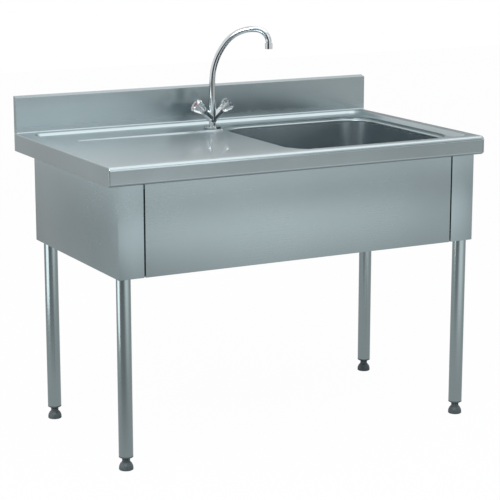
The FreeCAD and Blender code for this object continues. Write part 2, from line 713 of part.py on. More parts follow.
def make_backsplash_end(label, outer_x, side):
    """Plate that closes one end of the backsplash, inside its bent sheet."""
    body = new_body(label)
    face = backsplash_face + sheet_t
    wall = wall_face - sheet_t
    rise = dim("backsplash_rise") / dim("backsplash_thickness")
    drop = sheet_t + sheet_t * rise * rise + dim("weld_gap")
    top_front = backsplash_top - dim("backsplash_rise") + sheet_t * rise - drop
    top_rear = backsplash_top - sheet_t * rise - drop
    profile = new_sketch(body, label + "_profile", "YZ_Plane", outer_x)
    polygon(profile, [(face, rim_top), (wall_face, rim_top),
                      (wall_face, backsplash_top - dim("backsplash_lip")),
                      (wall, backsplash_top - dim("backsplash_lip")), (wall, top_rear),
                      (face, top_front)])
    extrude(body, "Pad", label + "_plate", profile, sheet_t, reverse=side > 0)
    return body


def bowl_form(body, name, grow, floor_radius):
    """Drafted bowl with a rounded floor, grown outwards by the sheet for its outside."""
    outline = new_sketch(body, name + "_outline", "XY_Plane", bowl_lip_foot)
    bowl_outline(outline, grow)
    extrude(body, "Pad", name, outline, bowl_lip_foot - bowl_floor + grow, reverse=True,
            taper=-dim("bowl_draft"))
    floor = bowl_floor - grow
    round_edges(body, name + "_floor", lambda e: lies_on(e, z=floor.value), floor_radius)
    seat = new_sketch(body, name + "_seat_outline", "XY_Plane", floor)
    wall_slope = Size(45, "45")
    circle(seat, bowl_x, bowl_y, dim("waste_recess_radius") + grow * tangent(wall_slope / 2))
    extrude(body, "Pad", name + "_seat", seat, dim("waste_recess_depth"), reverse=True,
            taper=-wall_slope)


def make_bowl():
    """Drawn bowl, butted to the worktop's turned-down lip."""
    void = doc.addObject("PartDesign::Body", "bowl_void")
    bowl_form(void, "bowl_hollow", Size(0, "0"), dim("bowl_floor_radius"))
    body = new_body("bowl")
    bowl_form(body, "bowl_drawn", sheet_t, dim("bowl_floor_radius") + sheet_t)
    hollow = body.newObject("PartDesign::Boolean", "bowl_shell")
    hollow.setObjects([void])
    hollow.Type = "Cut"
    doc.recompute()
    hole = new_sketch(body, "waste_hole_outline", "XY_Plane", bowl_floor)
    circle(hole, bowl_x, bowl_y, dim("waste_hole_radius"))
    extrude(body, "Pocket", "waste_hole", hole, dim("waste_recess_depth") + 2 * sheet_t, reverse=True)
    return body



# --------------------------------------------------------------------------------------
# Waste: flanged cup with its seals and ring nut, and the lift-out strainer basket.
# --------------------------------------------------------------------------------------

waste_seat = bowl_floor - dim("waste_recess_depth")
flange_foot = waste_seat + dim("waste_seal_thick")
flange_top = flange_foot + dim("waste_flange_thick")
cup_foot = flange_top - dim("waste_cup_depth")


def make_waste():
    cup, wall = dim("waste_cup_radius"), dim("waste_cup_wall")
    flange = dim("waste_flange_radius")
    bore, tail = dim("waste_tail_bore"), dim("waste_tail_radius")
    depth = dim("waste_cup_depth")
    tail_foot = -depth - dim("waste_tail_length")
    centre = (bowl_x, bowl_y, flange_top)
    turned("waste_body", [(bore, tail_foot), (tail, tail_foot), (tail, -depth), (cup, -depth),
                          (cup, -dim("waste_flange_thick")), (flange, -dim("waste_flange_thick")),
                          (flange, 0), (cup - wall, 0), (cup - wall, wall - depth),
                          (bore, wall - depth)], centre)
    seal = dim("waste_seal_thick")
    hole = dim("waste_hole_radius")
    ring("waste_seal_upper", flange - seal, hole, seal, (bowl_x, bowl_y, waste_seat))
    lower = waste_seat - sheet_t - seal
    ring("waste_seal_lower", flange - seal, hole, seal, (bowl_x, bowl_y, lower))
    height = dim("waste_nut_height")
    nut = ring("waste_ring_nut", dim("waste_nut_radius"), cup + dim("thread_gap"), height,
               (bowl_x, bowl_y, lower - height))
    notch = new_sketch(nut, "spanner_notch", "XY_Plane")
    circle(notch, dim("waste_nut_radius"), 0, height / 3)
    first = extrude(nut, "Pocket", "spanner_notch_cut", notch, height)
    repeat_round(nut, "spanner_notches", first, notch, 8)


def repeat_round(body, name, feature, sketch, count):
    """Polar pattern of a feature about the body's own Z."""
    pattern = body.newObject("PartDesign::PolarPattern", name)
    pattern.Originals = [feature]
    pattern.Axis = (sketch, ["N_Axis"])
    pattern.Angle = 360
    if isinstance(count, Size):
        bind(pattern, "Occurrences", count)
    else:
        pattern.Occurrences = count
    body.Tip = pattern
    doc.recompute()


def make_basket():
    gap = dim("running_gap")
    rim, outside, wall = dim("basket_rim_radius"), dim("basket_radius"), dim("basket_wall")
    depth = dim("basket_depth")
    place_at = (bowl_x, bowl_y, flange_top + gap)
    basket = turned("strainer_basket", [(0, -depth), (outside, -depth), (outside, 0), (rim, 0),
                                        (rim, wall), (outside - wall, wall),
                                        (outside - wall, wall - depth), (0, wall - depth)], place_at)
    for number, (share, count) in enumerate(((0.45, 8), (0.8, 14))):
        hole = new_sketch(basket, "drain_hole_%d" % number, "XY_Plane")
        circle(hole, (outside - wall) * share, 0, dim("basket_hole_radius"))
        cut = extrude(basket, "Pocket", "drain_hole_cut_%d" % number, hole, depth, reverse=True)
        repeat_round(basket, "drain_holes_%d" % number, cut, hole, count)
    knob, top = dim("basket_knob_radius"), dim("basket_knob_height")
    turned("basket_knob", [(0, 0), (knob / 2, 0), (knob / 3, top / 3), (knob / 3, top * 0.6),
                           (knob, top * 0.8), (knob * 0.9, top), (0, top)],
           (bowl_x, bowl_y, flange_top + gap - depth + wall))
    plug, plug_top = dim("plug_radius"), flange_top + gap - depth
    cup_floor = cup_foot + dim("waste_cup_wall") + gap
    turned("basket_plug", [(0, 0), (plug * 0.8, 0), (plug, (plug_top - cup_floor) / 3),
                           (plug * 0.9, plug_top - cup_floor), (0, plug_top - cup_floor)],
           (bowl_x, bowl_y, cup_floor))


# --------------------------------------------------------------------------------------
# Panels, rail and stiffeners: folded sheet
# --------------------------------------------------------------------------------------

def mirrored(points, side):
    """The same corners for the left end (side -1) or the right end (side 1)."""
    return [(as_size(x) * side, y) for x, y in points]


def make_side_panel(label, side):
    """Web with a wide front return, a rear return, a top flange and a folded hem."""
    body = new_body(label)
    web = right_end - dim("panel_inset")
    edge = web - dim("panel_return")
    rear_edge = web - dim("panel_rear_return")
    lip = panel_face + dim("panel_edge_flange")
    plan = new_sketch(body, label + "_plan", "XY_Plane", panel_foot)
    polygon(plan, mirrored([(rear_edge, panel_rear), (web, panel_rear), (web, panel_face),
                            (edge, panel_face), (edge, lip), (edge + panel_t, lip),
                            (edge + panel_t, panel_face + panel_t),
                            (web - panel_t, panel_face + panel_t),
                            (web - panel_t, panel_rear - panel_t),
                            (rear_edge, panel_rear - panel_t)], side))
    extrude(body, "Pad", label + "_sheet", plan, under_recess - panel_foot)
    top = new_sketch(body, label + "_top", "XY_Plane", under_recess)
    inner = web - dim("panel_top_flange")
    polygon(top, mirrored([(web, panel_face), (web, panel_rear), (inner, panel_rear),
                           (inner, panel_face)], side))
    extrude(body, "Pad", label + "_top_flange", top, panel_t, reverse=True)
    hem = new_sketch(body, label + "_hem", "XY_Plane", panel_foot)
    twice = 2 * panel_t
    polygon(hem, mirrored([(web - panel_t / 2, panel_face + panel_t / 2),
                           (web - panel_t / 2, panel_rear - panel_t / 2),
                           (web - twice, panel_rear - panel_t / 2), (web - twice, panel_face + twice),
                           (edge + twice, panel_face + twice), (edge + twice, panel_face + panel_t / 2)],
                          side))
    extrude(body, "Pad", label + "_folded_hem", hem, dim("panel_hem"))


def make_front_panel():
    """Tray-shaped panel between the two returns, a shadow gap away from each."""
    body = new_body("front_panel")
    edge = right_end - dim("panel_inset") - dim("panel_return") - dim("shadow_gap")
    lip = panel_face + dim("panel_edge_flange")
    plan = new_sketch(body, "front_plan", "XY_Plane", panel_foot)
    polygon(plan, [(-edge, lip), (-edge, panel_face), (edge, panel_face), (edge, lip),
                   (edge - panel_t, lip), (edge - panel_t, panel_face + panel_t),
                   (panel_t - edge, panel_face + panel_t), (panel_t - edge, lip)])
    extrude(body, "Pad", "front_sheet", plan, under_recess - panel_foot)
    section = new_sketch(body, "front_section", "YZ_Plane", -edge)
    inner = panel_face + dim("panel_top_flange")
    polygon(section, [(panel_face, under_recess), (inner, under_recess),
                      (inner, under_recess - panel_t), (panel_face, under_recess - panel_t)])
    extrude(body, "Pad", "front_top_flange", section, 2 * edge)
    section = new_sketch(body, "front_hem_section", "YZ_Plane", -edge)
    polygon(section, [(panel_face + panel_t / 2, panel_foot),
                      (panel_face + 2 * panel_t, panel_foot),
                      (panel_face + 2 * panel_t, panel_foot + dim("panel_hem")),
                      (panel_face + panel_t / 2, panel_foot + dim("panel_hem"))])
    extrude(body, "Pad", "front_folded_hem", section, 2 * edge)


def make_joint_strip(label, side):
    """Strip behind the shadow gap, fixed to the flanges on both sides of it."""
    body = new_body(label)
    middle = right_end - dim("panel_inset") - dim("panel_return") - dim("shadow_gap") / 2
    half = dim("joint_strip_width") / 2
    lip = panel_face + dim("panel_edge_flange")
    plan = new_sketch(body, label + "_plan", "XY_Plane", panel_foot)
    polygon(plan, mirrored([(middle - half, lip), (middle + half, lip),
                            (middle + half, lip + panel_t), (middle - half, lip + panel_t)], side))
    extrude(body, "Pad", label + "_sheet", plan, dim("gusset_height") - panel_foot)


def make_rear_rail():
    """Angle between the side panels: an upright web and a flange under the worktop."""
    body = new_body("rear_rail")
    reach = right_end - dim("panel_inset") - panel_t
    back = panel_rear - panel_t
    section = new_sketch(body, "rail_web_section", "YZ_Plane", -reach)
    foot = under_recess - dim("rail_height")
    polygon(section, [(back - panel_t, foot), (back, foot), (back, under_recess - panel_t),
                      (back - panel_t, under_recess - panel_t)])
    extrude(body, "Pad", "rail_web", section, 2 * reach)
    inner = right_end - dim("panel_inset") - dim("panel_top_flange") - dim("running_gap")
    section = new_sketch(body, "rail_flange_section", "YZ_Plane", -inner)
    polygon(section, [(back - dim("rail_flange"), under_recess - panel_t),
                      (back, under_recess - panel_t), (back, under_recess),
                      (back - dim("rail_flange"), under_recess)])
    extrude(body, "Pad", "rail_flange_strip", section, 2 * inner)


def make_stiffener(label, distance):
    """Hat channel across the drainer's underside, open side up."""
    body = new_body(label)
    t = dim("stiffener_sheet")
    half, flange = dim("stiffener_width") / 2, dim("stiffener_flange")
    height = dim("stiffener_height")
    profile = new_sketch(body, label + "_profile", "XZ_Plane")
    inner = half - flange
    polygon(profile, [(-half, 0), (-half, -t), (-inner - t, -t), (-inner - t, -height),
                      (inner + t, -height), (inner + t, -t), (half, -t), (half, 0), (inner, 0),
                      (inner, t - height), (-inner, t - height), (-inner, 0)])
    run = dim("unit_depth") - dim("stiffener_front_gap") - dim("stiffener_rear_gap")
    extrude(body, "Pad", label + "_sheet", profile, run)
    fall = dim("drainer_fall") / drainer_run
    level = drainer_high - fall * (distance + half) - sheet_t - dim("weld_gap")
    place(body, drainer_left + distance, wall_face - dim("stiffener_rear_gap"), level)


# --------------------------------------------------------------------------------------
# Legs, their corner gussets, inserts and levelling feet
# --------------------------------------------------------------------------------------

CORNERS = [("front_left", -1, -1), ("front_right", 1, -1), ("rear_left", -1, 1), ("rear_right", 1, 1)]


def leg_axis(side, end):
    return leg_x * side, leg_front_y if end < 0 else leg_rear_y


def make_leg_gusset(corner, side, end):
    """Plate across the panel corner with the socket for the leg under it."""
    body = new_body("leg_gusset_" + corner)
    x, y = leg_axis(side, end)
    web = (right_end - dim("panel_inset") - panel_t) * side
    outer_y = panel_face + panel_t if end < 0 else panel_rear - panel_t
    inner_x = x - dim("gusset_reach") * side
    inner_y = y - dim("gusset_reach") * end
    plate = new_sketch(body, corner + "_plate", "XY_Plane", leg_top)
    polygon(plate, [(web, outer_y), (inner_x, outer_y), (inner_x, inner_y), (web, inner_y)])
    extrude(body, "Pad", corner + "_gusset_plate", plate, dim("gusset_thick"))
    bore = dim("leg_radius") + dim("leg_fit")
    tube = new_sketch(body, corner + "_socket", "XY_Plane", leg_top)
    circle(tube, x, y, bore + dim("socket_wall"))
    circle(tube, x, y, bore)
    extrude(body, "Pad", corner + "_socket_tube", tube, dim("socket_depth"), reverse=True)
    hole = new_sketch(body, corner + "_grub_hole", "YZ_Plane", x)
    circle(hole, y, leg_top - dim("socket_depth") / 2, dim("grub_radius") + dim("thread_gap"))
    extrude(body, "Pocket", corner + "_grub_thread", hole, dim("gusset_reach"), reverse=side > 0)


def make_grub_screws():
    """One screw per socket, its flat end on the leg."""
    screws = []
    for corner, side, end in CORNERS:
        x, y = leg_axis(side, end)
        screw = doc.addObject("Part::Cylinder", "grub_" + corner)
        bind(screw, "Radius", dim("grub_radius"))
        bind(screw, "Height", dim("grub_length"))
        turn = Rotation(Vector(0, 1, 0), -90 * side)
        place(screw, x - dim("leg_radius") * side, y, leg_top - dim("socket_depth") / 2, turn)
        screws.append(screw)
    group = doc.addObject("Part::Compound", "leg_grub_screws")
    group.Links = screws
    doc.recompute()
    keep(group, "leg_grub_screws")


def make_leg(corner, side, end):
    x, y = leg_axis(side, end)
    outside = dim("leg_radius")
    ring("leg_" + corner, outside, outside - dim("leg_wall"), leg_top - leg_foot, (x, y, leg_foot))


def make_insert(corner, side, end):
    """Plastic plug in the tube's end, with the thread for the levelling foot."""
    x, y = leg_axis(side, end)
    plug, lip = dim("leg_radius") - dim("leg_wall"), dim("leg_radius")
    bore = dim("foot_stem_radius") + dim("foot_stem_fit")
    low = -dim("insert_lip") - dim("insert_chamfer")
    turned("leg_insert_" + corner,
           [(bore, low), (dim("foot_collar_radius"), low), (lip, -dim("insert_lip")), (lip, 0),
            (plug, 0), (plug, dim("insert_depth")), (bore, dim("insert_depth"))], (x, y, leg_foot))


def make_foot(corner, side, end):
    """Bell-shaped foot with a neck and the levelling screw moulded in."""
    x, y = leg_axis(side, end)
    bell, edge, height = dim("foot_bell_radius"), dim("foot_bell_edge"), dim("foot_bell_height")
    neck, stem = dim("foot_collar_radius"), dim("foot_stem_radius")
    shoulder = leg_foot - dim("insert_lip") - dim("insert_chamfer") - dim("running_gap")
    chamfer = edge / 4
    turned("foot_" + corner,
           [(0, 0), (bell - chamfer, 0), (bell, chamfer), (bell, edge), (neck, height),
            (neck, shoulder), (stem, shoulder), (stem, shoulder + dim("foot_stem_length")),
            (0, shoulder + dim("foot_stem_length"))], (x, y, Size(0, "0")),
           arcs={3: (dim("foot_bell_bow"), 1)})


# --------------------------------------------------------------------------------------
# Tap: cast body with two arms, headworks, lobed handles and a swan-neck spout
# --------------------------------------------------------------------------------------

def primitive(kind, name, sizes, at, rotation=None):
    """A Part primitive with its sizes and place tied to the sheet."""
    solid = doc.addObject("Part::%s" % kind, name)
    for key, size in sizes.items():
        bind(solid, key, size)
    place(solid, *at, rotation)
    return solid


def combine(kind, name, solids):
    result = doc.addObject("Part::%s" % kind, name)
    if kind == "Cut":
        result.Base, result.Tool = solids
    else:
        result.Shapes = solids
    doc.recompute()
    return result


def arm_turn(side):
    """Turns +Z onto the axis of one arm."""
    return Rotation(Vector(0, 1, 0), (90 - arm_angle.value) * side)


def along_arm(side, distance):
    reach = as_size(distance) * cosine(arm_angle) * side
    return tap_x + reach, tap_y, arm_crossing + as_size(distance) * sine(arm_angle)


def make_tap_body():
    base = primitive("Cylinder", "tap_flange", {"Radius": dim("tap_base_radius"),
                     "Height": dim("tap_base_height")}, (tap_x, tap_y, tap_base))
    column = primitive("Cone", "tap_column", {"Radius1": dim("tap_column_radius"),
                       "Radius2": dim("tap_column_waist"), "Height": dim("tap_column_height")},
                       (tap_x, tap_y, tap_base))
    hub = primitive("Cylinder", "tap_hub", {"Radius": dim("tap_hub_radius"),
                    "Height": dim("tap_hub_height") - dim("tap_column_height")},
                    (tap_x, tap_y, tap_base + dim("tap_column_height")))
    band = primitive("Cylinder", "tap_ring", {"Radius": dim("tap_ring_radius"),
                     "Height": dim("tap_ring_height")}, (tap_x, tap_y, tap_base + dim("tap_hub_height")))
    neck = primitive("Cylinder", "tap_neck", {"Radius": dim("tap_neck_radius"),
                     "Height": dim("tap_neck_height")},
                     (tap_x, tap_y, neck_top - dim("tap_neck_height")))
    solids = [base, column, hub, band, neck]
    tools = [primitive("Cylinder", "spigot_hole", {"Radius": dim("spigot_bore"),
                       "Height": dim("spigot_bore_depth") + dim("running_gap")},
                       (tap_x, tap_y, neck_top - dim("spigot_bore_depth")))]
    for side, name in ((-1, "hot"), (1, "cold")):
        # eight-sided arms, run past the crossing until their lower edges meet in a point
        past = dim("tap_arm_radius") * tangent(arm_angle)
        half_flat = Size(22.5, "22.5")
        arm = {"Circumradius": dim("tap_arm_radius") / cosine(half_flat),
               "Height": dim("tap_arm_length") + past}
        flats_forward = arm_turn(side) * Rotation(Vector(0, 0, 1), half_flat.value)
        prism = primitive("Prism", "arm_" + name, arm, along_arm(side, -past), flats_forward)
        prism.Polygon = 8
        solids.append(prism)
        bore = {"Radius": dim("cartridge_radius") + dim("thread_gap"),
                "Height": dim("cartridge_bore_depth") + dim("running_gap")}
        start = dim("tap_arm_length") - dim("cartridge_bore_depth")
        tools.append(primitive("Cylinder", "headwork_hole_" + name, bore, along_arm(side, start),
                               arm_turn(side)))
    tools.append(set_screw("set_screw_hole", dim("set_screw_radius") + dim("thread_gap"),
                           dim("spigot_bore") / 2, dim("tap_hub_radius")))
    casting = combine("MultiFuse", "tap_casting", solids)
    holes = combine("MultiFuse", "tap_holes", tools)
    keep(combine("Cut", "tap_body", [casting, holes]), "tap_body")


def make_tap_fixings():
    """Seal, threaded shank with its two inlets, washers and back nut."""
    seal = dim("tap_seal_thick")
    shank = dim("shank_radius")
    ring("tap_seal", dim("tap_seal_radius"), dim("tap_hole_radius"), seal, (tap_x, tap_y, recess_floor))
    body = new_body("tap_shank")
    outline = new_sketch(body, "shank_outline", "XY_Plane")
    circle(outline, 0, 0, shank)
    extrude(body, "Pad", "shank_thread", outline, dim("shank_length"))
    inlets = new_sketch(body, "inlet_outline", "XY_Plane")
    for side in (-1, 1):
        circle(inlets, dim("inlet_spacing") / 2 * side, 0, dim("inlet_radius"))
    extrude(body, "Pocket", "inlet_threads", inlets, dim("inlet_depth"))
    place(body, tap_x, tap_y, tap_base - dim("shank_length"))
    washer, thick = dim("shank_washer_radius"), dim("shank_washer_thick")
    loose = shank + dim("thread_gap")
    ring("tap_washer_rubber", washer, loose, thick, (tap_x, tap_y, under_recess - thick))
    ring("tap_washer_steel", washer, loose, thick, (tap_x, tap_y, under_recess - 2 * thick))
    hexagon_nut("tap_back_nut", dim("shank_nut_radius"), loose, dim("shank_nut_height"),
                (tap_x, tap_y, under_recess - 2 * thick - dim("shank_nut_height")))


def hexagon(sketch, radius):
    points = []
    for i in range(6):
        corner = Size(60 * i, "%d" % (60 * i))
        points.append((radius * cosine(corner), radius * sine(corner)))
    polygon(sketch, points)


def hexagon_nut(label, radius, bore, height, place_at, rotation=None):
    body = new_body(label)
    outline = new_sketch(body, label + "_outline")
    hexagon(outline, radius)
    circle(outline, 0, 0, bore)
    extrude(body, "Pad", label + "_blank", outline, height)
    place(body, *place_at, rotation)
    return body


def make_headwork(name, side):
    """Quarter-turn headwork: hexagon outside the arm, body inside it, spindle bore."""
    bore = dim("spindle_radius") + dim("spindle_fit")
    at = along_arm(side, dim("tap_arm_length"))
    body = hexagon_nut("headwork_" + name, dim("cartridge_hex"), bore, dim("cartridge_hex_thick"),
                       at, arm_turn(side))
    inside = new_sketch(body, name + "_thread_outline")
    circle(inside, 0, 0, dim("cartridge_radius"))
    circle(inside, 0, 0, bore)
    extrude(body, "Pad", name + "_thread", inside, dim("cartridge_depth"), reverse=True)


def make_handle(name, side):
    """Spindle, lobed handle, its screw and the index cap over the screw."""
    turn = arm_turn(side)
    spindle, inside = dim("spindle_radius"), dim("spindle_inside")
    start = dim("handle_start")
    length = start - dim("tap_arm_length") + inside + dim("spindle_outside")
    screw, head = dim("handle_screw_radius"), dim("handle_screw_head")
    body = new_body("spindle_" + name)
    outline = new_sketch(body, name + "_spindle_outline")
    circle(outline, 0, 0, spindle)
    extrude(body, "Pad", name + "_spindle_rod", outline, length)
    hole = new_sketch(body, name + "_screw_hole", "XY_Plane", length)
    circle(hole, 0, 0, screw)
    extrude(body, "Pocket", name + "_screw_thread", hole, dim("spindle_outside") / 2, reverse=True)
    place(body, *along_arm(side, dim("tap_arm_length") - inside), turn)

    narrow, wide, tall = dim("handle_narrow"), dim("handle_wide"), dim("handle_length")
    edge, cap = dim("handle_edge"), dim("index_radius")
    web = dim("spindle_outside")
    cap_seat = tall - dim("index_thick")
    handle = turned("handle_" + name,
                    [(spindle, 0), (narrow, 0), (wide, tall - edge), (wide - edge, tall), (cap, tall),
                     (cap, cap_seat), (head, cap_seat), (head, web), (spindle, web)],
                    along_arm(side, start), turn, arcs={2: (edge, 1)})
    flute = new_sketch(handle, name + "_flute_outline")
    circle(flute, dim("flute_centre"), 0, dim("flute_radius"))
    cut = extrude(handle, "Pocket", name + "_flute", flute, tall)
    repeat_round(handle, name + "_flutes", cut, flute, dim("handle_lobes"))

    head_top = dim("handle_screw_head_thick")
    turned("handle_screw_" + name,
           [(0, -web / 2), (screw, -web / 2), (screw, 0), (head, 0), (head, head_top), (0, head_top)],
           along_arm(side, start + web), turn)
    turned("index_cap_" + name, [(0, 0), (cap, 0), (cap, dim("index_thick")),
                                 (0, dim("index_thick") * 1.3)], along_arm(side, start + cap_seat), turn)


def spout_corners():
    """Points where the straights and bends of the spout meet, in its own upright plane."""
    a, b = dim("bend_a_angle"), dim("bend_b_angle")
    ra, rb, rc = dim("bend_a_radius"), dim("bend_b_radius"), dim("bend_c_radius")
    one = Size(1, "1")
    foot = (Size(0, "0"), neck_top - tap_base + dim("running_gap"))
    start = (Size(0, "0"), dim("spout_rise"))
    first = (ra * (one - cosine(a)), start[1] + ra * sine(a))
    second = (first[0] + rb * (cosine(a) - cosine(a + b)), first[1] + rb * (sine(a + b) - sine(a)))
    third = (second[0] + rc * (cosine(a + b) + one), second[1] - rc * sine(a + b))
    tip = (third[0], third[1] - dim("spout_drop"))
    return foot, start, first, second, third, tip


def spout_path(body, name):
    """Line, three tangent arcs and a line, as one open sketch."""
    foot, start, first, second, third, tip = spout_corners()
    sketch = new_sketch(body, name, "XZ_Plane")
    points = [Vector(x.value, z.value, 0) for x, z in (foot, start, first, second, third, tip)]
    radii = {1: dim("bend_a_radius"), 2: dim("bend_b_radius"), 3: dim("bend_c_radius")}
    for i in range(5):
        if i in radii:
            sketch.addGeometry(arc_between(points[i], points[i + 1], radii[i].value, -1))
        else:
            sketch.addGeometry(Part.LineSegment(points[i], points[i + 1]))
    starts = [1, 2, 2, 2, 1]
    for i, (x, z) in enumerate((foot, start, first, second, third)):
        pin_point(sketch, i, starts[i], x, z)
        if i > 0:
            end_before = 2 if i - 1 not in radii else 1
            sketch.addConstraint(Sketcher.Constraint("Coincident", i - 1, end_before, i, starts[i]))
        if i in radii:
            fix(sketch, "Radius", radii[i], i)
    pin_point(sketch, 4, 2, *tip)
    return sketch


def spout_pipe(body, kind, name, radius):
    path = spout_path(body, name + "_path")
    section = new_sketch(body, name + "_section", "XY_Plane", spout_corners()[0][1])
    circle(section, 0, 0, radius)
    pipe = body.newObject("PartDesign::%sPipe" % kind, name)
    pipe.Profile = section
    pipe.Spine = (path, [])
    doc.recompute()


def make_spout():
    """Swan neck on its spigot."""
    gap = dim("running_gap")
    body = new_body("spout")
    spout_pipe(body, "Additive", "spout_tube", dim("spout_radius"))
    foot = spout_corners()[0][1]
    spout_pipe(body, "Subtractive", "spout_bore", dim("spout_radius") - dim("spout_wall"))
    spigot, length, groove = dim("spigot_radius"), dim("spigot_length"), dim("spigot_groove")
    shoulder, web = dim("spout_radius"), dim("spigot_wall")
    screw = dim("set_screw_radius") + gap
    level = foot - gap - dim("tap_neck_height") - dim("tap_ring_height") / 2
    profile = new_sketch(body, "spigot_profile", "XZ_Plane")
    polygon(profile, [(0, foot - length), (spigot, foot - length), (spigot, level - screw),
                      (spigot - groove, level - screw), (spigot - groove, level + screw),
                      (spigot, level + screw), (spigot, foot), (shoulder, foot),
                      (shoulder, foot + web), (0, foot + web)])
    revolve(body, "spigot", profile)
    bore = new_sketch(body, "spigot_bore_outline", "XY_Plane", foot + 2 * web)
    circle(bore, 0, 0, spigot - web)
    extrude(body, "Pocket", "spigot_through", bore, 2 * length, reverse=True)
    place(body, tap_x, tap_y, tap_base, Rotation(Vector(0, 0, 1), -dim("spout_rest_angle").value))


def make_spout_fittings():
    """Collar and seals at the spout's foot, aerator at its tip, set screw in the ring."""
    foot, tip = spout_corners()[0][1], spout_corners()[-1]
    tube = dim("spout_radius")
    ring("spout_collar", dim("collar_radius"), tube, dim("collar_height"),
         (tap_x, tap_y, tap_base + foot))
    sizes = {"Radius1": (dim("spigot_radius") + dim("spigot_bore")) / 2,
             "Radius2": dim("o_ring_radius")}
    below_neck = tap_base + foot - dim("tap_neck_height")
    seals = []
    for number, level in enumerate((below_neck, below_neck - dim("o_ring_spacing")), 1):
        seals.append(primitive("Torus", "o_ring_%d" % number, sizes, (tap_x, tap_y, level)))
    group = doc.addObject("Part::Compound", "spout_seals")
    group.Links = seals
    doc.recompute()
    keep(group, "spout_seals")

    turn = Rotation(Vector(0, 0, 1), -dim("spout_rest_angle").value)
    rest = dim("spout_rest_angle")
    x, y = tap_x + tip[0] * cosine(rest), tap_y - tip[0] * sine(rest)
    low = dim("aerator_grip") - dim("aerator_height")
    housing, bore = dim("aerator_radius"), tube - dim("spout_wall")
    insert = dim("aerator_insert")
    turned("aerator_housing", [(bore, low), (housing, low), (housing, dim("aerator_grip")),
                               (tube, dim("aerator_grip")), (tube, 0), (bore, 0)],
           (x, y, tap_base + tip[1]), turn)
    mesh = turned("aerator_insert", [(0, 0), (bore, 0), (bore, insert), (0, insert)],
                  (x, y, tap_base + tip[1] + low + insert / 4), turn)
    jet = new_sketch(mesh, "jet_outline")
    circle(jet, bore / 2, 0, bore / 6)
    first = extrude(mesh, "Pocket", "jet", jet, insert)
    repeat_round(mesh, "jets", first, jet, 6)


def set_screw(name, radius, inner, outer):
    """Cylinder along the set screw's radius, between two distances from the tap axis."""
    angle = dim("set_screw_turn")
    level = neck_top - dim("tap_neck_height") - dim("tap_ring_height") / 2
    outwards = Vector(-sine(angle).value, -cosine(angle).value, 0)
    at = (tap_x - inner * sine(angle), tap_y - inner * cosine(angle), level)
    return primitive("Cylinder", name, {"Radius": radius, "Height": outer - inner}, at,
                     Rotation(Vector(0, 0, 1), outwards))


worktop = make_worktop()
make_backsplash_end("backsplash_end_left", left_end, -1)
make_backsplash_end("backsplash_end_right", right_end, 1)
make_bowl()
make_waste()
make_basket()
make_side_panel("side_panel_left", -1)
make_side_panel("side_panel_right", 1)
make_front_panel()
make_joint_strip("joint_strip_left", -1)
make_joint_strip("joint_strip_right", 1)
make_rear_rail()
bay = drainer_run / dim("stiffener_bays")
make_stiffener("drainer_stiffener_left", bay)
make_stiffener("drainer_stiffener_right", drainer_run - bay)
for corner, side, end in CORNERS:
    make_leg_gusset(corner, side, end)
    make_leg(corner, side, end)
    make_insert(corner, side, end)
    make_foot(corner, side, end)
make_grub_screws()
make_tap_body()
make_tap_fixings()
for name, side in (("hot", -1), ("cold", 1)):
    make_headwork(name, side)
    make_handle(name, side)
make_spout()
make_spout_fittings()
keep(set_screw("spout_set_screw", dim("set_screw_radius"),
               dim("spigot_radius") - dim("spigot_groove") + dim("running_gap"),
               dim("tap_ring_radius")), "spout_set_screw")
doc.recompute()

# --------------------------------------------------------------------------------------
# Checks, then one file per sub-part
# --------------------------------------------------------------------------------------

for thing in doc.Objects:
    if "Invalid" in thing.State or "Error" in thing.State:
        raise RuntimeError("%s does not rebuild: %s" % (thing.Name, thing.State))
for thing in parts:
    if thing.Shape.isNull() or not thing.Shape.isValid():
        raise RuntimeError("%s has no valid shape" % thing.Label)
    if len(thing.Shape.Solids) == 0:
        raise RuntimeError("%s has no solid" % thing.Label)
for thing in parts:
    thing.Shape.exportStep("parts/%s.step" % thing.Label)
print("wrote", len(parts), "sub-parts")
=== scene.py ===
# %% [markdown]
# # A catering sink unit in stainless steel
# The solids come from the part itself: pressed worktop, drawn bowl, folded panels, tube legs
# and mixer tap. This lesson dresses them in satin sheet with its grain, bright tap chrome,
# clear handles and moulded feet, softens the folds of the panels, and puts up a white studio.
# Everything is in metres, X to the right, Y to the wall, Z up.

# %% Load the solids
import json
import math

import bmesh
import bpy
from mathutils import Matrix, Vector


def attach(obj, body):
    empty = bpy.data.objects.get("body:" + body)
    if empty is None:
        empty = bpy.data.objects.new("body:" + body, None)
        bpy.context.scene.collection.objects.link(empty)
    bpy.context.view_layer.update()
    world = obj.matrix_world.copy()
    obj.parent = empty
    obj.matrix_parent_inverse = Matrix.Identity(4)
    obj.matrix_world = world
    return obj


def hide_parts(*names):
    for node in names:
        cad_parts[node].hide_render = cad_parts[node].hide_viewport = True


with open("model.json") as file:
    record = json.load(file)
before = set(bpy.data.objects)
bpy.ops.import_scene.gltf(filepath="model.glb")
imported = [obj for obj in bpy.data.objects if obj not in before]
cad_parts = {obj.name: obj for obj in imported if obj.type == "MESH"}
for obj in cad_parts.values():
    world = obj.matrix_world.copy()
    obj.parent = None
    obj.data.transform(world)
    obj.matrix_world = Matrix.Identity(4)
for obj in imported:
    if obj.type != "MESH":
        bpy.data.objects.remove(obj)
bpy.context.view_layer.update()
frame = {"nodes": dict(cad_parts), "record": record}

nodes = frame["nodes"]

# %% [markdown]
# ## Writing shader maths as sums
# A finish is a chain of small sums. Its nodes could be placed and linked one by one, but that
# takes many lines and hides what they do. With each socket wrapped in a class, the chain reads
# as ordinary arithmetic: `rough + grain * 0.05` adds the two Math nodes by itself.

# %% A socket that can be added and multiplied


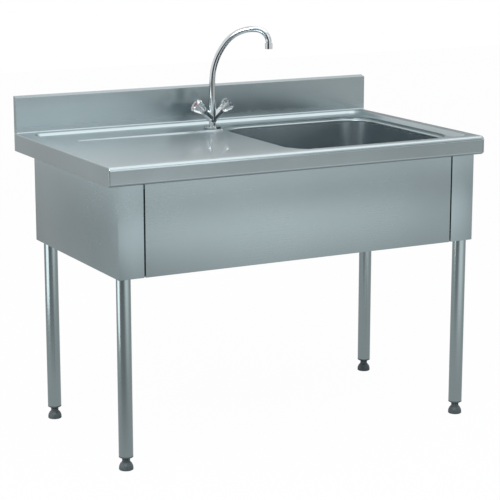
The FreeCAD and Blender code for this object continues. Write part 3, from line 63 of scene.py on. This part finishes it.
class Wire:
    """One output socket of a node tree, with its arithmetic."""

    def __init__(self, board, socket):
        self.board, self.socket = board, socket

    def maths(self, operation, first, second):
        settings = {"operation": operation}
        return self.board.node("ShaderNodeMath", settings, {0: first, 1: second})[0]

    def __add__(self, other):
        return self.maths("ADD", self, other)

    def __sub__(self, other):
        return self.maths("SUBTRACT", self, other)

    def __mul__(self, other):
        return self.maths("MULTIPLY", self, other)

    def __radd__(self, other):
        return self.maths("ADD", self, other)

    def __rsub__(self, other):
        return self.maths("SUBTRACT", other, self)

    __rmul__ = __mul__


print("wires add, subtract and multiply")

# %% [markdown]
# ## One method for any node
# Blender has a node for nearly everything, and each is made in the same three steps: add it,
# set its options, feed its sockets. One method does that for all of them, for a material and
# for the world alike, and the short methods after it are the few patterns that this unit needs
# again and again.

# %% A node tree to wire


class Board:
    """The node tree of a material or a world, emptied and ready to be wired."""

    def __init__(self, owner):
        owner.use_nodes = True
        self.owner, self.tree = owner, owner.node_tree
        self.tree.nodes.clear()

    def node(self, kind, settings=None, inputs=None):
        """Add a node of any kind: its settings first, then the values or wires it takes."""
        made = self.tree.nodes.new(kind)
        for key, value in (settings or {}).items():
            if key == "stops":
                ramp = made.color_ramp
                while len(ramp.elements) < len(value):
                    ramp.elements.new(0.5)
                for element, (place, colour) in zip(ramp.elements, value):
                    element.position, element.color = place, colour
            else:
                setattr(made, key, value)
        for key, value in (inputs or {}).items():
            if isinstance(value, Wire):
                self.tree.links.new(value.socket, made.inputs[key])
            else:
                made.inputs[key].default_value = value
        return [Wire(self, socket) for socket in made.outputs if socket.enabled]

    def named(self, kind):
        """The wires of a node that takes nothing in, by the names of its sockets."""
        return {wire.socket.name: wire for wire in self.node(kind)}

    def place(self, scale=(1, 1, 1)):
        """The point on the piece, in metres, stretched by a scale."""
        point = self.named("ShaderNodeTexCoord")["Object"]
        return self.node("ShaderNodeMapping", {}, {"Vector": point, "Scale": scale})[0]

    def split(self, point):
        """The three wires of a point: X, Y and Z."""
        return self.node("ShaderNodeSeparateXYZ", {}, {"Vector": point})

    def noise(self, place, scale, detail=2.0, roughness=0.5):
        sockets = {"Vector": place, "Scale": scale, "Detail": detail, "Roughness": roughness}
        return self.node("ShaderNodeTexNoise", {}, sockets)[0]

    def rise(self, value, low, high):
        """0 before low, 1 past high, and a soft change between them."""
        sockets = {"Value": value, "From Min": low, "From Max": high}
        return self.node("ShaderNodeMapRange", {"interpolation_type": "SMOOTHSTEP"}, sockets)[0]

    def ramp(self, value, stops):
        grey = [(spot, (level, level, level, 1)) for spot, level in stops]
        return self.node("ShaderNodeValToRGB", {"stops": grey}, {"Fac": value})[0]

    def blend(self, share, first, second):
        sockets = {"Factor": share, 6: first, 7: second}
        return self.node("ShaderNodeMix", {"data_type": "RGBA"}, sockets)[0]

    def bump(self, height, strength, distance):
        sockets = {"Height": height, "Strength": strength, "Distance": distance}
        return self.node("ShaderNodeBump", {}, sockets)[0]

    def rays(self):
        """1 for rays from the camera, and 1 for rays that came off a mirror or through glass."""
        path = self.named("ShaderNodeLightPath")
        return path["Is Camera Ray"], path["Is Glossy Ray"] + path["Is Transmission Ray"]

    def finish(self, **sockets):
        """Principled surface from named sockets; underscores stand for spaces."""
        named = {key.replace("_", " "): value for key, value in sockets.items()}
        surface = self.node("ShaderNodeBsdfPrincipled", {}, named)[0]
        self.node("ShaderNodeOutputMaterial", {}, {"Surface": surface})
        return self.owner


def new_board(name):
    """A board for a new material."""
    return Board(bpy.data.materials.new(name))


def shaded(tint, share=1.0):
    """A colour as a socket takes it, darkened to a share of itself."""
    return [channel * share for channel in tint] + [1]


print("shader helpers ready")

# %% [markdown]
# ## Satin stainless steel
# The sheet is ground along one direction before it is pressed, which leaves fine, long
# scratches. They barely show as lines, but they make the highlights soft and a little uneven.
# The Anisotropic socket could smear the highlights, but it draws no scratches, and it needs a UV
# map, which these solids don't have. So a noise with few cells along the grain and hundreds
# across it gives the scratches, a slow noise gives the cloudy look of handled sheet, and both
# change roughness more than colour.
#
# The worktop is one sheet with three kinds of shine: bright on its rolled front, duller on the
# flat, which is wiped every day, and between the two on the upstand at the wall. Each change is
# a level that starts at a distance along an axis. On the flat a thin sheen keeps the faint, crisp
# mirror image that worn sheet still shows from a low angle.

# %% Satin steel, ground along a chosen axis
CELLS_ALONG, CELLS_ACROSS = 3, 700    # noise cells in a metre, along the grain and across it
CLOUD_CELLS, MOTTLE_CELLS = 3.5, 38.0
CLOUD_SHADE = 0.93                    # the darkest cloud, as a share of the tint
CLOUD_ROUGHNESS = 0.03
SCRATCH_STRENGTH, SCRATCH_DEPTH = 0.02, 0.0003
SHEEN_ROUGHNESS = 0.06


def satin_steel(name, tint, roughness, grain, scratch=0.035, levels=()):
    """Ground steel; each level is (axis, start, end, roughness past it, sheen past it)."""
    board = new_board(name)
    sheen = 0.0
    for axis, start, end, next_roughness, next_sheen in levels:
        past = board.rise(board.split(board.place())["XYZ".index(axis)], start, end)
        roughness = roughness + past * (next_roughness - roughness)
        sheen = sheen + past * (next_sheen - sheen)
    run = [CELLS_ALONG if axis == grain else CELLS_ACROSS for axis in "XYZ"]
    scratches = board.noise(board.place(run), 1.0, detail=3.0, roughness=0.6)
    clouds = board.noise(board.place(), CLOUD_CELLS, detail=3.0, roughness=0.55)
    mottle = board.noise(board.place(), MOTTLE_CELLS, roughness=0.6)
    haze = board.ramp(clouds, [(0.3, 0.0), (0.7, 1.0)])
    colour = board.blend(haze, shaded(tint, CLOUD_SHADE), shaded(tint))
    rough = (roughness + (scratches - 0.5) * scratch * 2
             + (clouds - 0.5) * CLOUD_ROUGHNESS * 2 + (mottle - 0.5) * CLOUD_ROUGHNESS)
    bump = board.bump(scratches, SCRATCH_STRENGTH, SCRATCH_DEPTH)
    coat = {"Coat_Weight": sheen, "Coat_Roughness": SHEEN_ROUGHNESS} if levels else {}
    return board.finish(Base_Color=colour, Metallic=1.0, Roughness=rough, Normal=bump, **coat)


worktop_levels = (
    ("Y", -0.346, -0.342, 0.32, 0.35),  # from the rolled front to the flat
    ("Z", 0.852, 0.880, 0.23, 0.0),     # from the flat to the upstand
)
steels = {
    "pressed_steel": satin_steel("satin_worktop", (0.374, 0.441, 0.461), 0.18, "X",
                                 levels=worktop_levels),
    "bowl_steel": satin_steel("satin_bowl", (0.43, 0.49, 0.515), 0.26, "Z", scratch=0.006),
    "panel_steel": satin_steel("satin_panel", (0.369, 0.447, 0.466), 0.26, "X"),
    "frame_steel": satin_steel("mill_steel", (0.34, 0.39, 0.41), 0.38, "X"),
    "leg_steel": satin_steel("satin_tube", (0.372, 0.453, 0.470), 0.16, "Z"),
}
print("steels:", ", ".join(steels))

# %% [markdown]
# ## Bright metal
# Tap bodies are cast in brass, polished and chrome plated. The plating is almost a mirror, with
# faint waviness left from polishing by hand. A perfect mirror would look drawn, so a slow noise
# ripples it and a fine one makes it uneven. The waste parts are polished steel and a little
# softer, and brass, screws and washers are the same finish with more roughness.

# %% Chrome, polished steel, brass and plated screws
WAVE_CELLS, MARK_CELLS = 60.0, 420.0
WAVE_SHADE = 0.96
WAVE_STRENGTH, WAVE_DEPTH = 0.04, 0.0006


def bright_metal(name, tint, roughness, unevenness=0.02):
    board = new_board(name)
    place = board.place()
    waves = board.noise(place, WAVE_CELLS)
    marks = board.noise(place, MARK_CELLS, roughness=0.6)
    colour = board.blend(waves, shaded(tint, WAVE_SHADE), shaded(tint))
    rough = roughness + (marks - 0.5) * unevenness
    ripple = board.bump(waves, WAVE_STRENGTH, WAVE_DEPTH)
    return board.finish(Base_Color=colour, Metallic=1.0, Roughness=rough, Normal=ripple)


metals = {
    "tap_chrome": bright_metal("tap_chrome", (0.60, 0.635, 0.65), 0.06),
    "waste_steel": bright_metal("polished_waste", (0.62, 0.64, 0.66), 0.14, 0.05),
    "fixing_brass": bright_metal("turned_brass", (0.68, 0.50, 0.24), 0.25, 0.10),
    "screw_steel": bright_metal("plated_screw", (0.42, 0.43, 0.45), 0.28, 0.10),
    "washer_steel": bright_metal("zinc_washer", (0.50, 0.51, 0.53), 0.34, 0.12),
}
print("bright metals:", ", ".join(metals))

# %% [markdown]
# ## Moulded plastic and rubber
# The feet and tube inserts are filled nylon, dark grey with the fine spark texture of their
# mould. Rubber is darker still and almost without shine. A photograph of the grain would need
# a map on every small piece, so a fine noise in the bump gives it, and a slow noise gives the
# paler, worn patches.

# %% Plastics and rubber
PATCH_CELLS, SPARK_CELLS = 45.0, 1800.0
SPARK_DEPTH = 0.0002
WORN_SHARE, WORN_DUST = 1.36, 0.004   # worn patches: the tint times the one, plus the other
WORN_ROUGHNESS = 0.12


def moulded(name, tint, roughness, grain=0.10):
    board = new_board(name)
    place = board.place()
    patches = board.noise(place, PATCH_CELLS, detail=3.0, roughness=0.6)
    sparks = board.noise(place, SPARK_CELLS, roughness=0.6)
    worn = [min(1.0, channel * WORN_SHARE + WORN_DUST) for channel in tint] + [1]
    colour = board.blend(board.ramp(patches, [(0.45, 0.0), (0.8, 1.0)]), shaded(tint), worn)
    rough = roughness + (patches - 0.5) * WORN_ROUGHNESS
    grained = board.bump(sparks, grain, SPARK_DEPTH)
    return board.finish(Base_Color=colour, Roughness=rough, Normal=grained)


plastics = {
    "foot_plastic": moulded("foot_nylon", (0.054, 0.073, 0.079), 0.50),
    "seal_rubber": moulded("seal_rubber", (0.018, 0.018, 0.019), 0.70, 0.2),
    "nut_plastic": moulded("white_nylon", (0.72, 0.72, 0.69), 0.40),
    "aerator_plastic": moulded("aerator_mesh", (0.42, 0.44, 0.46), 0.42),
    "index_red": moulded("index_red", (0.17, 0.055, 0.075), 0.30, 0.02),
    "index_blue": moulded("index_blue", (0.045, 0.085, 0.19), 0.30, 0.02),
}
print("plastics:", ", ".join(plastics))

# %% [markdown]
# ## Clear handles
# The fluted handles are cast acrylic. Lowering Alpha would only make them faint, but real
# acrylic bends what is seen through it. So the surface transmits, with acrylic's own index of
# refraction, and a slow noise leaves it a little wavy, as a casting is.

# %% Cast acrylic
ACRYLIC_IOR = 1.49
CAST_CELLS = 90.0
CAST_SHADE, CAST_ROUGHNESS = 0.97, 0.04
CAST_STRENGTH, CAST_DEPTH = 0.05, 0.0005


def clear_casting(name, tint):
    board = new_board(name)
    waves = board.noise(board.place(), CAST_CELLS)
    colour = board.blend(waves, shaded(tint, CAST_SHADE), shaded(tint))
    rough = CAST_ROUGHNESS + waves * CAST_ROUGHNESS
    ripple = board.bump(waves, CAST_STRENGTH, CAST_DEPTH)
    return board.finish(Base_Color=colour, Roughness=rough, IOR=ACRYLIC_IOR,
                        Transmission_Weight=1.0, Normal=ripple)


plastics["handle_acrylic"] = clear_casting("clear_acrylic", (0.86, 0.89, 0.905))
print("clear plastic:", plastics["handle_acrylic"].name)

# %% [markdown]
# ## Every solid in its finish
# Each solid's record names the slot that its material belongs to. Finishes could be given out
# piece by piece, but one table from slot to finish dresses them all in a loop, and no piece is
# forgotten.
#
# The side panels differ in one thing. They are ground along their depth, so their scratches run
# front to back and not along the unit, and they take a steel of their own.

# %% Give every solid its finish
finishes = {**steels, **metals, **plastics}
side_steel = satin_steel("satin_side_panel", (0.366, 0.449, 0.470), 0.26, "Y", scratch=0.015)
own_finish = {"side_panel_left": side_steel, "side_panel_right": side_steel}
slot_of = {entry["node"]: entry["material_slot"] for entry in frame["record"]["subparts"]}
for name, solid in nodes.items():
    if len(solid.material_slots) == 0:
        solid.data.materials.append(None)
    for place in solid.material_slots:
        place.material = own_finish.get(name, finishes[slot_of[name]])
print("dressed", len(nodes), "solids in", len(finishes) + 1, "finishes")

# %% [markdown]
# ## Folds in sheet
# A folded panel has no sharp edge: each fold is a small radius that catches a thin line of
# light. A Bevel modifier can't find the folds of the solid itself, because its triangles are
# loose. So the mesh is copied, its doubles are merged, its flat faces are joined again, and its
# folds are bevelled. The copy then stands for the solid. The steps of the bevel are shaded as
# one curve, and anything sharper than the smooth angle stays crisp.

# %% Bevelled copies
FOLD_RADIUS = 0.0005
FOLD_STEPS = 3
FOLD_ANGLE = math.radians(40)         # what bends more than this is a fold
FLAT_ANGLE = math.radians(0.5)        # what bends less than this is one flat face
SMOOTH_ANGLE = math.radians(35)
MERGE_DISTANCE = 1e-6


def mesh_from(mesh, name):
    """A mesh that takes over a bmesh, which is freed."""
    data = bpy.data.meshes.new(name)
    mesh.to_mesh(data)
    mesh.free()
    return data


def put_in_scene(name, data):
    """An object around a mesh, a lamp or a camera."""
    thing = bpy.data.objects.new(name, data)
    bpy.context.scene.collection.objects.link(thing)
    return thing


def keep_piece(mesh, name, body, finish):
    """Turn a bmesh into a finished piece that rides on a body."""
    mesh.normal_update()
    data = mesh_from(mesh, name)
    thing = put_in_scene(name, data)
    data.materials.append(finish)
    data.shade_smooth()
    data.set_sharp_from_angle(angle=SMOOTH_ANGLE)
    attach(thing, body)
    return thing


def soften(name, body, finish):
    """Stand a copy with rounded folds in a panel's place."""
    mesh = bmesh.new()
    mesh.from_mesh(nodes[name].data)
    bmesh.ops.remove_doubles(mesh, verts=mesh.verts, dist=MERGE_DISTANCE)
    bmesh.ops.dissolve_limit(mesh, angle_limit=FLAT_ANGLE, verts=mesh.verts, edges=mesh.edges)
    folds = [edge for edge in mesh.edges
             if len(edge.link_faces) == 2 and edge.calc_face_angle() > FOLD_ANGLE]
    bmesh.ops.bevel(mesh, geom=folds, offset=FOLD_RADIUS, offset_type="OFFSET",
                    segments=FOLD_STEPS, profile=0.5, affect="EDGES", clamp_overlap=True,
                    material=-1)
    thing = keep_piece(mesh, name + "_soft", body, finish)
    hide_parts(name)
    print("softened", name, "faces:", len(thing.data.polygons))


soften("side_panel_left", "unit", side_steel)
soften("side_panel_right", "unit", side_steel)
soften("front_panel", "unit", steels["panel_steel"])

# %% [markdown]
# ## The studio
# The unit stands against plain white. Polished sheet shows what stands around it more than it
# shows the lamps, so most of its tone comes from the surroundings. More light could whiten the
# background, but it would burn out the steel. So the world is plain white only to rays from the
# camera and from mirrors and glass, and for the light that falls on the unit it is a soft sky,
# duller below the horizon.

# %% The world
WHITE = (1, 1, 1, 1)
SKY_STRENGTH = 0.8
SKY_STOPS = [(0.42, (0.52, 0.55, 0.57, 1)),   # just below the horizon
             (0.62, (0.92, 0.95, 0.97, 1))]   # a little above it

world = bpy.data.worlds.new("white_studio")
bpy.context.scene.world = world
board = Board(world)
height = board.split(board.named("ShaderNodeTexCoord")["Generated"])[2]
spread = board.node("ShaderNodeMapRange", {},
                    {"Value": height, "From Min": -1.0, "From Max": 1.0})[0]
sky = board.node("ShaderNodeValToRGB", {"stops": SKY_STOPS}, {"Fac": spread})[0]
lit = board.node("ShaderNodeBackground", {}, {"Color": sky, "Strength": SKY_STRENGTH})[0]
seen = board.node("ShaderNodeBackground", {}, {"Color": WHITE, "Strength": 1.0})[0]
direct, mirrored = board.rays()
share = board.node("ShaderNodeMath", {"operation": "ADD", "use_clamp": True},
                   {0: direct, 1: mirrored})[0]
either = board.node("ShaderNodeMixShader", {}, {"Fac": share, 1: lit, 2: seen})[0]
board.node("ShaderNodeOutputWorld", {}, {"Surface": either})
print("world:", world.name)

# %% [markdown]
# ## Cards for the steel to mirror
# A studio puts cards round polished metal, out of the camera's sight. A picture of a room could
# be wrapped round the unit instead, but a card is plainer and can be moved until each face has
# its tone. The dark card at the front left stands for the unlit room behind the camera, the two
# behind the wall side are what the worktop mirrors, and the one in front is for the backsplash.

# %% Cards
CARD_SHADE = 0.98                     # the darker fibres of the paper
FIBRE_CELLS = 8.0


def stage_card(name, centre, width, height, facing, grey):
    """A flat card that stands at a place, faces a point and is hidden from the camera."""
    mesh = bmesh.new()
    bmesh.ops.create_grid(mesh, x_segments=1, y_segments=1, size=0.5)
    bmesh.ops.scale(mesh, vec=(width, height, 1), verts=mesh.verts)
    turn = (Vector(facing) - Vector(centre)).to_track_quat("Z", "Y").to_matrix().to_4x4()
    bmesh.ops.transform(mesh, matrix=Matrix.Translation(centre) @ turn, verts=mesh.verts)
    card = put_in_scene(name, mesh_from(mesh, name))
    paper = new_board(name + "_paper")
    fibres = paper.noise(paper.place(), FIBRE_CELLS)
    shade = paper.blend(fibres, shaded([grey] * 3, CARD_SHADE), shaded([grey] * 3))
    card.data.materials.append(paper.finish(Base_Color=shade, Roughness=0.9))
    card.visible_camera = False


cards = (
    # name, centre, width, height, point it faces, grey
    ("camera_flag", (-2.0, -2.3, 0.8), 3.4, 1.6, (0, 0.2, 0.8), 0.10),
    ("rear_flag", (1.9, 2.8, 1.25), 5.2, 1.3, (1.9, 0, 1.0), 0.86),
    ("rear_flag_right", (3.05, 2.6, 1.25), 3.0, 1.3, (2.6, 0, 1.0), 0.32),
    ("front_flag", (2.2, -3.5, 1.7), 4.4, 1.3, (0, 0.3, 0.9), 0.60),
)
for card in cards:
    stage_card(*card)
print("cards:", ", ".join(card[0] for card in cards))

# %% [markdown]
# ## The floor
# The floor is pale paper, yet it has to look as white as the world behind it. A brighter lamp
# would wash out the unit, so the floor glows instead: plain white to the camera, with a small
# share of paper left in to hold a faint shadow. The steel mirrors the floor too, and to it the
# floor glows in soft pools: brighter before the front panel, duller at the left, where the side
# panel and the tubes look at it.

# %% The floor, white to the camera and still holding a shadow
HALF_FLOOR = 9.0
GLOW_SHARE = 0.975                    # the rest is paper, and takes the shadow
FLOOR_CELLS = 3.0
MIRRORED_TONE = 0.54
FRONT_BRIGHTER, REAR_LEFT_DULLER, FRONT_LEFT_DULLER = 0.62, 0.14, 0.45

mesh = bmesh.new()
bmesh.ops.create_grid(mesh, x_segments=1, y_segments=1, size=HALF_FLOOR)
floor = put_in_scene("floor", mesh_from(mesh, "floor"))
board = new_board("studio_floor")
spot = board.place()


def pool(x, y, stretch, near, far):
    """1 around a place on the floor, falling softly to 0 at the far distance."""
    flat = board.node("ShaderNodeMapping", {}, {"Vector": spot, "Scale": (1, stretch, 0)})[0]
    gap = board.node("ShaderNodeVectorMath", {"operation": "DISTANCE"},
                     {0: flat, 1: (x, y * stretch, 0)})[0]
    return board.rise(gap, far, near)


tone = MIRRORED_TONE + pool(0.9, -2.9, 1.3, 0.6, 3.0) * FRONT_BRIGHTER
tone = tone * (1.0 - pool(-2.3, 2.3, 1.0, 0.8, 2.0) * REAR_LEFT_DULLER)
tone = tone * (1.0 - pool(-1.7, -1.7, 1.0, 0.7, 1.9) * FRONT_LEFT_DULLER)
direct, mirrored = board.rays()
pale = board.blend(board.noise(spot, FLOOR_CELLS), (0.66, 0.67, 0.68, 1), (0.68, 0.69, 0.70, 1))
paper = board.node("ShaderNodeBsdfDiffuse", {}, {"Color": pale})[0]
strength = direct + mirrored * tone
glow = board.node("ShaderNodeEmission", {}, {"Color": WHITE, "Strength": strength})[0]
share = direct * GLOW_SHARE + mirrored
cover = board.node("ShaderNodeMixShader", {}, {"Fac": share, 1: paper, 2: glow})[0]
board.node("ShaderNodeOutputMaterial", {}, {"Surface": cover})
floor.data.materials.append(board.owner)
print("floor:", 2 * HALF_FLOOR, "m across")

# %% [markdown]
# ## Lamps
# Small lamps would draw hard bright spots on polished sheet, so all of them are wide and soft.
# The key lamp stands high at the front left, and the top lamp gives the worktop its even light.
# The three weak ones only touch up what mirrors them: the rear lamp the top edge of the
# backsplash, the side strip the left stripe down each leg, and the front strip the rolled front
# edge and the left end of the backsplash.

# %% Lamps


def turn_to(thing, direction):
    """Turn a lamp or the camera so that it looks along a direction."""
    thing.rotation_mode = "QUATERNION"
    thing.rotation_quaternion = direction.to_track_quat("-Z", "Y")


def soft_lamp(name, place, target, size, watts):
    lamp = bpy.data.lights.new(name, "AREA")
    lamp.shape, lamp.size, lamp.size_y = "RECTANGLE", *size
    lamp.energy = watts
    thing = put_in_scene(name, lamp)
    thing.location = place
    turn_to(thing, Vector(target) - Vector(place))


lamps = (
    # name, place, target, width and height, watts
    ("key_lamp", (-2.6, -2.4, 3.4), (0, 0, 0.8), (1.6, 1.6), 95),
    ("top_lamp", (0.9, -0.7, 3.6), (0.1, 0, 0.8), (4.0, 2.8), 36),
    ("rear_lamp", (1.6, 2.66, 3.02), (0, 0.34, 0.95), (1.8, 0.5), 0.7),
    ("side_strip", (-1.7, 0.15, 0.4), (0, 0.15, 0.4), (1.0, 0.7), 3.5),
    ("front_strip", (0.85, -3.1, 1.7), (-0.4, 0.3, 0.9), (1.0, 1.2), 5),
)
for lamp in lamps:
    soft_lamp(*lamp)
print("lamps:", ", ".join(lamp[0] for lamp in lamps))

# %% [markdown]
# ## The camera
# A long lens from the front left, a little above the worktop, as in the photograph. A camera
# set by eye is soon a few degrees off, which shows in every slanting edge, so its place and
# focal length come from matching known points of the unit.

# %% Camera
LENS, SENSOR_WIDTH = 124.68, 36       # millimetres
AZIMUTH, ELEVATION = math.radians(-28.06), math.radians(12.29)
DISTANCE = 5.16932
TARGET = Vector((0.00312, 0, 0.50177))

camera_data = bpy.data.cameras.new("camera")
camera_data.lens = LENS
camera_data.sensor_width = SENSOR_WIDTH
camera_data.clip_start, camera_data.clip_end = 0.1, 60
camera = put_in_scene("camera", camera_data)
back = Vector((math.sin(AZIMUTH) * math.cos(ELEVATION),
               -math.cos(AZIMUTH) * math.cos(ELEVATION),
               math.sin(ELEVATION)))
camera.location = TARGET + back * DISTANCE
turn_to(camera, -back)
bpy.context.scene.camera = camera
bpy.context.scene.view_settings.view_transform = "Standard"
print("camera at", [round(v, 3) for v in camera.location])
